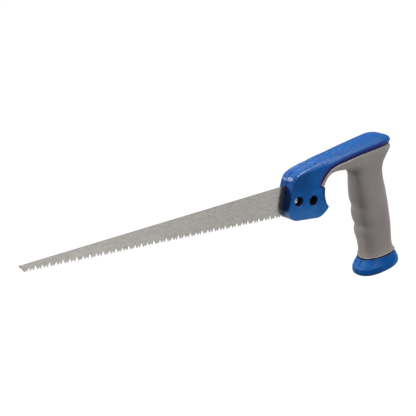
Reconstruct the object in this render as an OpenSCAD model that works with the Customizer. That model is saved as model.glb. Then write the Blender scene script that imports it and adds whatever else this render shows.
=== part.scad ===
// Keyhole saw: a tapered blade clamped between the two halves of a moulded
// pistol handle by two screws, with a soft skin round the grip.
// X runs from the blade's toe to the handle, Y across the saw (-Y is the side
// that the screw heads are on), Z up. Millimetres.
// The origin is in the middle of the grip, at the height of the tooth line.

/* [Blade] */
// Blade length in front of the handle, toe to head
blade_len = 305; // [240:5:320]
// Blade thickness
blade_t = 1.2; // [0.8:0.1:1.2]
// Blade depth at the toe
toe_depth = 6.8; // [5:0.2:9]
// Blade depth at the heel, where it enters the handle
heel_depth = 33.2; // [30:0.2:33.4]
// Pitch of one pair of teeth
pair_pitch = 7.1; // [5.6:0.1:8.5]
// Depth of the deep gullet between two pairs
gullet_depth = 3.4; // [2:0.1:4]
// Depth of the notch between the two teeth of a pair
notch_depth = 1.8; // [1:0.1:2]

/* [Handle] */
// Half thickness of the head at its widest
head_half_w = 11.5; // [11:0.1:12.5]
// Half thickness of the grip
grip_half_w = 15.4; // [14.6:0.1:16.6]
// Half thickness of the butt
butt_half_w = 19.6; // [18:0.2:21]
// Thickness of the soft skin on the grip
skin = 2.6; // [2:0.1:3]

/* [Clamp] */
// Diameter of the recess that each screw head sits in
recess_d = 10.5; // [9.6:0.1:11]
// Depth of the recess floor from the middle of the saw
recess_floor = 2.5; // [2:0.1:3]
// Diameter of the clamp screw's head
screw_head_d = 7.6; // [7:0.1:8.4]
// Diameter of the clamp washer
washer_d = 9; // [8.4:0.1:9.2]
// Width of the clamp nut across its flats
nut_af = 7; // [6.8:0.1:7.4]

/* [Hidden] */
$fn = 48;

blue = [0.05, 0.20, 0.55];
grey = [0.44, 0.42, 0.41];
steel = [0.62, 0.61, 0.58];
zinc = [0.75, 0.75, 0.74];

// ---- places ------------------------------------------------------------
head_x = -119;                       // where the blade leaves the head
toe_x = head_x - blade_len;
screw_at = [[-107.8, 16.6], [-88.7, 14.7]];   // the two clamp axes, x and z
screw_r = 2;                         // screw shank
hole_r = 2.2;                        // clearance hole in the shells
slot_half = blade_t / 2 + 0.1;       // half width of the blade slot
washer_t = 0.8;
head_h = 2.4;
nut_y = 3.0;                         // inner face of the nuts
nut_h = 3.2;
screw_end = 7.4;                     // far end of the shanks
seam = 0.02;                         // half gap at the joint of the shells

// ---- curves ------------------------------------------------------------
// A smooth curve through the points of a list, n steps to a span
function at(P, i) = i < 0 ? 2 * P[0] - P[1]
    : i > len(P) - 1 ? 2 * P[len(P) - 1] - P[len(P) - 2] : P[i];
function cr(a, b, c, d, t) = 0.5 * (2 * b + (c - a) * t
    + (2 * a - 5 * b + 4 * c - d) * t * t
    + (3 * b - a - 3 * c + d) * t * t * t);
function smooth(P, n) = concat(
    [for (i = [0:len(P) - 2]) for (j = [0:n - 1])
        cr(at(P, i - 1), P[i], P[i + 1], at(P, i + 2), j / n)],
    [P[len(P) - 1]]);

// ---- sections ----------------------------------------------------------
// A station is a rung across the handle, seen from the side:
// [front x, front z, rear x, rear z, half width, width left at the rear end,
//  where the rung is widest, front roundness, rear roundness].
// The section runs from the front end round one side to the rear end.
function rise(a, b, t1, p) = [t1 * (1 - pow(cos(a), 2 / p)), b * pow(sin(a), 2 / p)];
function fall(a, b, e, t1, q) = let (u = pow(sin(a), 2 / q))
    [t1 + (1 - t1) * u, b * pow(max(0, 1 - (1 - pow(max(e, 0.02), q)) * pow(u, q)), 1 / q)];
function half_section(s, n) = concat(
    [for (j = [0:n]) rise(90 * j / n, s[4], s[6], s[7])],
    [for (j = [1:n]) fall(90 * j / n, s[4], s[5], s[6], s[8])]);
function on_rung(s, t, y) = [s[0] + (s[2] - s[0]) * t, y, s[1] + (s[3] - s[1]) * t];
function side_ring(s, n, w) = [for (h = half_section(s, n))
    let (q = on_rung(s, h[0], 0)) [q[0], -h[1] * lookup(q[0], w), q[2]]];
// closed ring of one half, which runs on past the middle plane, and of the whole
function half_ring(s, n, w, past) = concat([on_rung(s, 0, past)], side_ring(s, n, w), [on_rung(s, 1, past)]);
function full_ring(s, n, w) = let (h = side_ring(s, n, w), m = len(h))
    concat(h, [for (i = [m - 1:-1:1]) [h[i][0], -h[i][1], h[i][2]]]);

function flat_list(L) = [for (a = L) for (b = a) b];
function turned(F) = [for (f = F) [for (i = [len(f) - 1:-1:0]) f[i]]];
// Solid through a row of closed rings; turn is for rings that run the other way
// round, and the faces from ring point mirror_from on are split as in a mirror
module through(rings, turn = false, mirror_from = 1000) {
    m = len(rings[0]);
    k = len(rings);
    faces = concat(
        [[for (i = [0:m - 1]) i]],
        [for (r = [0:k - 2]) for (i = [0:m - 1]) let (a = r * m + i, b = a + m, d = r * m + (i + 1) % m, c = d + m)
            each i < mirror_from ? [[a, b, d], [b, c, d]] : [[a, b, c], [a, c, d]]],
        [[for (i = [m - 1:-1:0]) (k - 1) * m + i]]);
    polyhedron(points = flat_list(rings), faces = turn ? turned(faces) : faces, convexity = 10);
}

unit_w = [[-500, 1], [500, 1]];
// Half thickness of head and spine along the saw
head_w = [for (v = [[-124, 10.4], [-121, 10.5], [-108, 10.9], [-95, 11.3], [-85, 11.5], [-72, 11.8],
    [-60, 12.6], [-40, 13.5], [-20, 13.9], [0, 13.9], [5, 13.8], [9, 13.5], [12, 13.0], [15, 12.0],
    [17, 10.9], [19, 9.3], [20.5, 7.3], [21.4, 5.3], [22, 2.5]]) [v[0], v[1] * head_half_w / 11.5]];

// Head: rungs from the front and top edge to the bottom and rear edge
head_st = [for (v = [
    [-119.4, 2.6, -116.2, -1.3], [-120.0, 9, -111, -3.7], [-119.1, 16, -102, -4.2],
    [-118.1, 23, -92, -4.6], [-117.1, 29.5, -82, -5.0], [-116.1, 34.6, -76, -3.5],
    [-114.8, 39.7, -71, -0.1], [-111.4, 44.3, -67.4, 5.2], [-105.6, 47.5, -70.2, 9.4],
    [-99, 50, -72.3, 16], [-92, 52.3, -72.6, 22], [-86.4, 54.1, -72.3, 26.2]])
    [v[0], v[1], v[2], v[3], 1, 0.03, 0.5, v[0] > -100 ? 5 : 7, 9]];
// Spine: rungs from the top edge to the lower edge, widest at the lip
spine_st = [for (v = [
    [-86, 54.3, -78.4, 26.6, 0.70, 5], [-82.4, 55.7, -75.8, 33.1, 0.70, 4],
    [-76.4, 57.7, -72.3, 38.6, 0.74, 3], [-68, 60.1, -67.2, 43.5, 0.70, 2.3],
    [-58, 62.6, -60.5, 47.2, 0.72, 1.8], [-48, 64.9, -50.9, 50.0, 0.74, 1.5],
    [-36, 67.5, -38.1, 52.8, 0.72, 1.4], [-20, 71.1, -22.1, 56.0, 0.74, 1.4],
    [-4, 73.8, -4.1, 58.7, 0.70, 1.4], [8, 72.5, 11.0, 61.0, 0.66, 1.5],
    [15.5, 70.6, 17.8, 61.8, 0.66, 1.8], [20.6, 67.8, 20.9, 61.9, 0.62, 2.2],
    [21.9, 65.4, 21.9, 62.0, 0.5, 2.3]])
    [v[0], v[1], v[2], v[3], 1, 0.8, v[4], v[5], 1.1]];

// Grip and web: rungs from the finger side to the spine or the heel of the hand
grip_st = [for (v = [
    [-71.8, 27.6, -77.5, 27.8, 9.0, 0.97, 4.5, 2.4], [-70.7, 31.6, -75.3, 31.8, 10.8, 0.97, 4.5, 2.4],
    [-67.7, 36.7, -70.7, 38.4, 11.2, 0.97, 4.5, 2.4], [-63, 39.6, -65.4, 43.4, 11.6, 0.97, 4.5, 2.4],
    [-57, 40.7, -59.7, 46.2, 12.0, 0.97, 4.5, 2.4], [-48, 40.6, -50, 49.0, 12.5, 0.97, 4.5, 2.4],
    [-40, 39.9, -38, 51.6, 13.0, 0.97, 4.3, 2.4], [-34, 38.7, -22, 54.8, 13.5, 0.97, 4.0, 2.4],
    [-30, 36.6, -6, 57.4, 14.0, 0.96, 3.6, 2.8], [-27.9, 33.4, 10, 59.8, 14.2, 0.84, 3.3, 3.2],
    [-26.8, 29.4, 20.8, 60.3, 14.3, 0.05, 3.1, 3.2], [-26.2, 24.5, 18.9, 55.0, 14.4, 0.02, 3, 2.7],
    [-25.4, 19, 13.9, 46.5, 14.5, 0.02, 3, 2.5], [-24.5, 13, 11.3, 37, 14.7, 0.02, 3, 2.6],
    [-23.2, 6, 12.6, 25, 15.0, 0.02, 3, 2.8], [-21.5, -1, 16.0, 13.3, 15.3, 0.02, 3, 2.9],
    [-19.1, -7.2, 18.3, 4.2, 15.4, 0.02, 3, 2.9], [-18.7, -13.5, 20.9, -6, 15.4, 0.02, 3, 2.9],
    [-17.3, -19.5, 22.7, -13.3, 15.4, 0.02, 3, 2.9], [-13.9, -28, 25.0, -23.7, 15.4, 0.02, 3, 2.9],
    [-13.4, -35.5, 26.5, -32, 15.3, 0.02, 3, 2.9], [-11.4, -42, 27.3, -39, 15.0, 0.02, 3, 2.9],
    [-8, -51.7, 28.6, -48.5, 14.6, 0.02, 3, 2.9], [-6.6, -59.4, 30.4, -56, 15.0, 0.02, 2.9, 2.9],
    [-6.9, -65.3, 34.2, -61.6, 16.2, 0.02, 2.9, 2.9]])
    [v[0], v[1], v[2], v[3], v[4] * grip_half_w / 15.4, v[5], 0.5, v[6], v[7]]];
under_spine = 8;                     // last station that is wholly under the spine
first_grip = 10;                     // first station below the spine

// Butt: rungs from front to rear
butt_st = [for (v = [
    [-7.5, -66.2, 34.7, -62.5, 16.6], [-9.6, -69.5, 37.0, -65.0, 17.5],
    [-12.3, -73.9, 39.2, -68.5, 18.8], [-14.1, -78.0, 40.3, -71.8, 19.6],
    [-14.4, -81.5, 39.2, -74.4, 19.4], [-13.2, -84.2, 36.2, -76.5, 17.2],
    [-9.6, -85.7, 32.4, -78.1, 14.6]])
    [v[0], v[1], v[2], v[3], v[4] * butt_half_w / 19.6, 0.02, 0.5, 2.4, 2.4]];

// The core under the skin: the same rungs, drawn in by the skin's thickness.
// Under the spine they run on upwards into it, and below it they are drawn in
// at both ends.
function length(s) = norm([s[2] - s[0], s[3] - s[1]]);
function drawn(s, f, r, b) = let (l = length(s), d = [s[2] - s[0], s[3] - s[1]] / l)
    [s[0] + d[0] * f, s[1] + d[1] * f, s[2] - d[0] * r, s[3] - d[1] * r,
     s[4] - b, max(0.02, s[5]), s[6], s[7], s[8]];
grip_row = smooth(grip_st, 2);
function ends_in(i, k) = lookup(i, [[2 * under_spine, -5], [2 * under_spine + 2, -1], [2 * first_grip, k + 0.6]]);
function core_st(k, first = 2) = concat(
    [for (i = [first:len(grip_row) - 1]) drawn(grip_row[i], k, ends_in(i, k), k)],
    [drawn([-6.6, -76, 34.6, -71, 16.1 * grip_half_w / 15.4, 0.02, 0.5, 2.6, 2.4], k, k, k)]);

// ---- shells ------------------------------------------------------------
module head_and_spine() {
    // the head, then the spine from the head to the heel of the hand
    through([for (s = concat(smooth(head_st, 2), smooth(spine_st, 2))) half_ring(s, 6, head_w, 1)]);
}
module grip_core() {
    through([for (s = core_st(skin + 0.05, 3)) half_ring(s, 5, unit_w, 1.5)], true);
}
module butt() {
    through([for (s = smooth(butt_st, 2)) half_ring(s, 7, unit_w, 2)], true);
}
// Prism on the middle plane, reaching in to y = -deep
module prism(P, deep, past = 4) {
    translate([0, past, 0]) rotate([90, 0, 0]) linear_extrude(deep + past) polygon(P);
}
// Part of the grip seen from the side, along a row of stations, drawn in at both ends
function bay(S, k) = let (D = [for (s = S) drawn(s, k, k, 0)]) concat(
    [for (d = D) [d[0], d[1]]],
    [for (n = [len(D) - 1:-1:0]) [D[n][2], D[n][3]]]);
function between(i, j) = (grip_st[i] + grip_st[j]) / 2;
module pockets() {
    // head, above the blade
    prism([[-107, 36.5], [-84, 36.5], [-84, 49], [-98, 45.2], [-107, 41]], 7);
    // spine
    prism([[-80, 48], [-72, 50], [-64, 52.4], [-64, 56], [-80, 52]], 7);
    prism([[-56, 54.5], [-30, 59], [-30, 63], [-56, 57.5]], 7.5);
    // grip, in three bays with a rib between each two
    for (b = [[12, 13, 14], [15, 17, 18], [19, 21, 22]]) {
        prism(bay([grip_st[b[0]], grip_st[b[1]], grip_st[b[2]]], 6.5), 6);
        prism(bay([between(b[0], b[1]), grip_st[b[1]], between(b[1], b[2])], 10.5), 9);
    }
    // butt
    prism([[2, -73], [24, -70.5], [26, -75.5], [1, -79]], 11);
}
pegs = [[-60, 54.4], [-8, 57], [-1, 12], [5.4, -22.3], [12.5, -60]];
module slot() {
    // blade slot, open to the front
    translate([head_x - 8, -slot_half, -1]) cube([head_x * -1 + 8 - 77.4, slot_half + 1, 35]);
}
module shell() {
    difference() {
        union() {
            head_and_spine();
            grip_core();
            butt();
        }
        pockets();
        slot();
        // the joint of the two halves
        translate([-200, -seam, -150]) cube([300, 50, 300]);
    }
}
module cross_bore(i, r, y0, y1) {
    translate([screw_at[i][0], y0, screw_at[i][1]]) rotate([-90, 0, 0]) cylinder(r = r, h = y1 - y0);
}
module left_handle_shell() {
    color(blue) difference() {
        union() {
            shell();
            for (p = pegs) translate([p[0], -2, p[1]]) rotate([-90, 0, 0]) cylinder(r = 1.8, h = 5.5);
        }
        for (i = [0, 1]) {
            cross_bore(i, hole_r, -8, 1);
            cross_bore(i, recess_d / 2, -30, -recess_floor);
        }
    }
}
module right_handle_shell() {
    color(blue) difference() {
        mirror([0, 1, 0]) shell();
        for (p = pegs) translate([p[0], -1, p[1]]) rotate([-90, 0, 0]) cylinder(r = 1.85, h = 4.8);
        for (i = [0, 1]) {
            cross_bore(i, hole_r, -1, 8);
            translate([screw_at[i][0], nut_y - 0.02, screw_at[i][1]]) rotate([-90, 0, 0])
                cylinder(r = (nut_af / 2 + 0.1) / cos(30), h = 30, $fn = 6);
        }
    }
}

// ---- soft skin ---------------------------------------------------------
module grip_sleeve() {
    color(grey) difference() {
        through([for (s = grip_row) full_ring(s, 6, unit_w)], true, 13);
        through([for (s = core_st(skin)) full_ring(s, 5, unit_w)], true, 11);
    }
}

// ---- blade -------------------------------------------------------------
gullet0 = toe_x + 9.8;
pairs = floor((head_x - 1 - gullet0) / pair_pitch);
heel_x = head_x + 4;
tang_end = -78.5;
// Tooth line: gullet, tooth, notch, tooth for each pair
tooth_line = concat(
    [[toe_x + 5.2, 0.3], [toe_x + 6.6, 0]],
    [for (i = [0:pairs - 1]) let (x = gullet0 + i * pair_pitch)
        each [[x, gullet_depth], [x + pair_pitch * 0.30, 0],
              [x + pair_pitch * 0.5, notch_depth], [x + pair_pitch * 0.70, 0.1]]],
    [[gullet0 + pairs * pair_pitch, gullet_depth],
     [min(gullet0 + (pairs + 0.3) * pair_pitch, head_x - 0.2), 0]]);
slot_z = [12.3, 19.0];               // tang slot, clear of both screws
slot_mid = (slot_z[0] + slot_z[1]) / 2;
slot_r = (slot_z[1] - slot_z[0]) / 2;
module blade() {
    color(steel) translate([0, blade_t / 2, 0]) rotate([90, 0, 0]) linear_extrude(blade_t)
        difference() {
            polygon(concat([[toe_x, toe_depth]], tooth_line,
                [[head_x + 0.6, 1.6], [heel_x, 1.6], [heel_x + 2, 4], [tang_end - 2, 4], [tang_end, 6],
                 [tang_end, 29], [tang_end - 2, 31], [heel_x + 2, 31], [heel_x, heel_depth]]));
            translate([screw_at[0][0] + 0.5, slot_mid]) circle(r = slot_r);
            translate([screw_at[0][0] + 0.5, slot_z[0]]) square([60, 2 * slot_r]);
        }
}

// ---- clamp -------------------------------------------------------------
head_y = -recess_floor - 0.03 - washer_t - 0.02;   // underside of the screw heads
module clamp_screw(i) {
    color(zinc) translate([screw_at[i][0], 0, screw_at[i][1]]) rotate([90, 0, 0]) difference() {
        union() {
            // domed head with a flat underside
            translate([0, 0, -head_y]) rotate_extrude() polygon(concat([[0, 0]],
                [[screw_head_d / 2, 0], [screw_head_d / 2, head_h * 0.45]],
                [for (a = [10:10:90]) [screw_head_d / 2 * (0.55 + 0.45 * cos(a)),
                    head_h * (0.45 + 0.55 * sin(a))]], [[0, head_h]]));
            translate([0, 0, -screw_end]) cylinder(r = screw_r, h = screw_end - head_y + 0.2);
        }
        // cross recess
        for (a = [0, 90]) rotate([0, 0, a + 20])
            translate([-2.3, -0.45, -head_y + head_h - 1.5]) cube([4.6, 0.9, 3]);
    }
}
module clamp_washer(i) {
    color(zinc) translate([screw_at[i][0], 0, screw_at[i][1]]) rotate([90, 0, 0])
        translate([0, 0, recess_floor + 0.03]) difference() {
            cylinder(r = washer_d / 2, h = washer_t);
            translate([0, 0, -1]) cylinder(r = screw_r + 0.15, h = washer_t + 2);
        }
}
module clamp_nut(i) {
    color(zinc) translate([screw_at[i][0], nut_y, screw_at[i][1]]) rotate([-90, 0, 0]) difference() {
        intersection() {
            cylinder(r = nut_af / 2 / cos(30), h = nut_h, $fn = 6);
            // turned corners
            rotate_extrude() polygon([[0, 0], [nut_af / 2 + 0.05, 0], [nut_af / 2 + 0.7, 0.4],
                [nut_af / 2 + 0.7, nut_h - 0.4], [nut_af / 2 + 0.05, nut_h], [0, nut_h]]);
        }
        translate([0, 0, -1]) cylinder(r = screw_r + 0.05, h = nut_h + 2);
    }
}
module front_clamp_screw() { clamp_screw(0); }
module rear_clamp_screw() { clamp_screw(1); }
module front_washer() { clamp_washer(0); }
module rear_washer() { clamp_washer(1); }
module front_clamp_nut() { clamp_nut(0); }
module rear_clamp_nut() { clamp_nut(1); }

blade();
left_handle_shell();
right_handle_shell();
grip_sleeve();
front_clamp_screw();
rear_clamp_screw();
front_washer();
rear_washer();
front_clamp_nut();
rear_clamp_nut();
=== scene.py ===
import math
import bmesh
import bpy
import numpy as np
from mathutils import Matrix, Vector
from mathutils.geometry import delaunay_2d_cdt


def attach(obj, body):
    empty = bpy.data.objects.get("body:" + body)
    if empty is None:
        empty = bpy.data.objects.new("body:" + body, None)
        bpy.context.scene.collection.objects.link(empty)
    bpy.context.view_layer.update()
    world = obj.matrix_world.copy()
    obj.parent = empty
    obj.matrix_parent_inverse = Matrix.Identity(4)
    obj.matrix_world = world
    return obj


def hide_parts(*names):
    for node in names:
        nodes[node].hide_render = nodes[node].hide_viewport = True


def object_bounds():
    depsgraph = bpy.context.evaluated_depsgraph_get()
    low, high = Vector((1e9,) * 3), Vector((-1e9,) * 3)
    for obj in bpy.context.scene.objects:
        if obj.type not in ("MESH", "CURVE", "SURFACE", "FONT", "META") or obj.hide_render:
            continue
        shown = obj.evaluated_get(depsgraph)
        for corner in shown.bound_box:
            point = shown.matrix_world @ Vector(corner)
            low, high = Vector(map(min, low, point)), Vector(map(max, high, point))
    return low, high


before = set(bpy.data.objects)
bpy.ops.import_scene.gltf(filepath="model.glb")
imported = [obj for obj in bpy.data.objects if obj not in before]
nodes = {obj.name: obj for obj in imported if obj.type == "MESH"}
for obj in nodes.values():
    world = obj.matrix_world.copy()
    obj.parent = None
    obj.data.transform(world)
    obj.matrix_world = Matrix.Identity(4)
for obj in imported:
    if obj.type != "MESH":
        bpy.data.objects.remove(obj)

cad_box = [list(map(float, corner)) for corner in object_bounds()]
scene = bpy.context.scene

# Keyhole saw. Lengths below are millimetres in the model's frame: X from the toe to the
# handle, -Y the side of the screw heads, Z up. Meshes are scaled to metres as they are made.

# ------------------------------------------------------------------ curves and meshes


def spline(P, n):
    """Smooth curve through the rows of P, n steps to a span."""
    P = np.asarray(P, float)
    Q = np.vstack([2 * P[0] - P[1], P, 2 * P[-1] - P[-2]])
    t = (np.arange(n) / n)[:, None]
    out = []
    for i in range(len(P) - 1):
        a, b, c, d = Q[i : i + 4]
        out.append(0.5 * (2 * b + (c - a) * t + (2 * a - 5 * b + 4 * c - d) * t**2 + (3 * b - a - 3 * c + d) * t**3))
    return np.vstack(out + [P[-1:]])


def respace(C, step):
    """Rows of C again, evenly spaced along the curve of its first two columns."""
    d = np.r_[0, np.cumsum(np.hypot(*np.diff(C[:, :2], axis=0).T))]
    s = np.linspace(0, d[-1], max(2, int(round(d[-1] / step)) + 1))
    return np.column_stack([np.interp(s, d, C[:, k]) for k in range(C.shape[1])])


def smoothstep(x, a, b):
    t = np.clip((np.asarray(x, float) - a) / (b - a), 0, 1)
    return t * t * (3 - 2 * t)


def distance(P, C):
    """Distance of each 2-D point of P from the polyline C."""
    P, A, B = np.asarray(P, float)[:, None], C[None, :-1], C[None, 1:]
    t = np.clip(((P - A) * (B - A)).sum(-1) / np.maximum(((B - A) ** 2).sum(-1), 1e-12), 0, 1)
    return np.sqrt(((A + (B - A) * t[..., None] - P) ** 2).sum(-1)).min(1)


def in_polygon(P, C):
    x, z = P[:, 0][:, None], P[:, 1][:, None]
    x0, z0 = C[:, 0][None], C[:, 1][None]
    x1, z1 = np.roll(C[:, 0], -1)[None], np.roll(C[:, 1], -1)[None]
    cross = (z0 > z) != (z1 > z)
    dz = np.where(z1 == z0, 1e-12, z1 - z0)
    return (np.where(cross, x < (x1 - x0) * (z - z0) / dz + x0, False)).sum(1) % 2 == 1


def triangulate(points, edges, keep):
    """Triangles over 2-D points along given edges, where keep(centroids) is true."""
    out = delaunay_2d_cdt([Vector((float(a), float(b))) for a, b in points], edges, [], 0, 1e-5, True)
    co = np.array([(v.x, v.y) for v in out[0]])
    source = [o[0] if o else -1 for o in out[3]]
    tri = np.array(out[2])
    return co, source, tri[keep(co[tri].mean(1))]


class Builder:
    """Collects vertices and faces, then makes one closed mesh object."""

    def __init__(self):
        self.v, self.f, self.m = [], [], []

    def add(self, pts):
        i0 = sum(len(a) for a in self.v)
        self.v.append(np.asarray(pts, float).reshape(-1, 3))
        return np.arange(i0, i0 + len(self.v[-1]))

    def face(self, ids, mat=0):
        self.f.append([int(i) for i in ids])
        self.m.append(mat)

    def strip(self, a, b, mat=0, closed=False):
        n = len(a)
        for i in range(n if closed else n - 1):
            j = (i + 1) % n
            self.face((a[i], a[j], b[j], b[i]), mat if np.isscalar(mat) else int(mat[i]))

    def grid(self, ids, mat=0, closed=False):
        """ids[row][column]; closed joins the last column to the first."""
        for r in range(len(ids) - 1):
            self.strip(ids[r], ids[r + 1], mat, closed)

    def make(self, name, materials, sharp=38, mirror=False):
        V = np.vstack(self.v) * 0.001
        if mirror:
            V = V * np.array([1, -1, 1])
        mesh = bpy.data.meshes.new(name)
        bm = bmesh.new()
        verts = [bm.verts.new(p) for p in V]
        for ids, mat in zip(self.f, self.m):
            ids = [i for k, i in enumerate(ids) if i != ids[k - 1]]
            if len(ids) > 2:
                try:
                    bm.faces.new([verts[i] for i in ids]).material_index = mat
                except ValueError:
                    pass
        bmesh.ops.remove_doubles(bm, verts=bm.verts, dist=2e-6)
        bmesh.ops.dissolve_degenerate(bm, edges=bm.edges, dist=1e-7)
        loose = [v for v in bm.verts if not v.link_faces]
        bmesh.ops.delete(bm, geom=loose, context="VERTS")
        bmesh.ops.recalc_face_normals(bm, faces=bm.faces)
        bm.to_mesh(mesh)
        bm.free()
        return finish_mesh(name, mesh, materials, sharp)


def finish_mesh(name, mesh, materials, sharp):
    for m in materials:
        mesh.materials.append(m)
    mesh.shade_smooth()
    mesh.set_sharp_from_angle(angle=math.radians(sharp))
    obj = bpy.data.objects.new(name, mesh)
    scene.collection.objects.link(obj)
    return obj


# ------------------------------------------------------------------ materials


class Nodes:
    """Short names for the nodes of one material."""

    def __init__(self, name):
        self.mat = bpy.data.materials.new(name)
        self.mat.use_nodes = True
        self.tree = self.mat.node_tree
        self.tree.nodes.clear()
        self.out = self.new("ShaderNodeOutputMaterial")
        self.bsdf = self.new("ShaderNodeBsdfPrincipled")
        self.link(self.bsdf.outputs[0], self.out.inputs[0])
        self.coord = self.new("ShaderNodeTexCoord").outputs["Object"]

    def new(self, kind, **values):
        n = self.tree.nodes.new(kind)
        for k, v in values.items():
            setattr(n, k, v)
        return n

    def link(self, a, b):
        self.tree.links.new(a, b)

    def set(self, **values):
        for k, v in values.items():
            self.bsdf.inputs[k.replace("_", " ")].default_value = v

    def scaled(self, s):
        n = self.new("ShaderNodeMapping")
        n.inputs["Scale"].default_value = s
        self.link(self.coord, n.inputs["Vector"])
        return n.outputs[0]

    def noise(self, scale, detail=3.0, rough=0.55, stretch=None, distortion=0.0):
        n = self.new("ShaderNodeTexNoise")
        n.inputs["Scale"].default_value = scale
        n.inputs["Detail"].default_value = detail
        n.inputs["Roughness"].default_value = rough
        n.inputs["Distortion"].default_value = distortion
        self.link(self.scaled(stretch) if stretch else self.coord, n.inputs["Vector"])
        return n.outputs["Fac"]

    def ramp(self, value, a, b, lo=0.0, hi=1.0):
        n = self.new("ShaderNodeMapRange")
        n.inputs["From Min"].default_value, n.inputs["From Max"].default_value = a, b
        n.inputs["To Min"].default_value, n.inputs["To Max"].default_value = lo, hi
        self.link(value, n.inputs["Value"])
        return n.outputs["Result"]

    def math(self, op, a, b):
        n = self.new("ShaderNodeMath", operation=op)
        for k, v in enumerate((a, b)):
            if isinstance(v, (int, float)):
                n.inputs[k].default_value = v
            else:
                self.link(v, n.inputs[k])
        return n.outputs[0]

    def mix(self, fac, a, b):
        n = self.new("ShaderNodeMix", data_type="RGBA")
        self.link(fac, n.inputs["Factor"])
        for k, v in ((6, a), (7, b)):
            if isinstance(v, tuple):
                n.inputs[k].default_value = (*v, 1)
            else:
                self.link(v, n.inputs[k])
        return n.outputs[2]

    def normal(self, axis):
        g = self.new("ShaderNodeNewGeometry")
        s = self.new("ShaderNodeSeparateXYZ")
        self.link(g.outputs["Normal"], s.inputs[0])
        return s.outputs[axis]

    def place(self, axis):
        s = self.new("ShaderNodeSeparateXYZ")
        self.link(self.coord, s.inputs[0])
        return s.outputs[axis]

    def colour(self, value):
        self.link(value, self.bsdf.inputs["Base Color"])

    def rough(self, value):
        self.link(value, self.bsdf.inputs["Roughness"])

    def bump(self, height, strength, depth):
        n = self.new("ShaderNodeBump")
        n.inputs["Strength"].default_value = strength
        n.inputs["Distance"].default_value = depth
        self.link(height, n.inputs["Height"])
        self.link(n.outputs[0], self.bsdf.inputs["Normal"])


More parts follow.
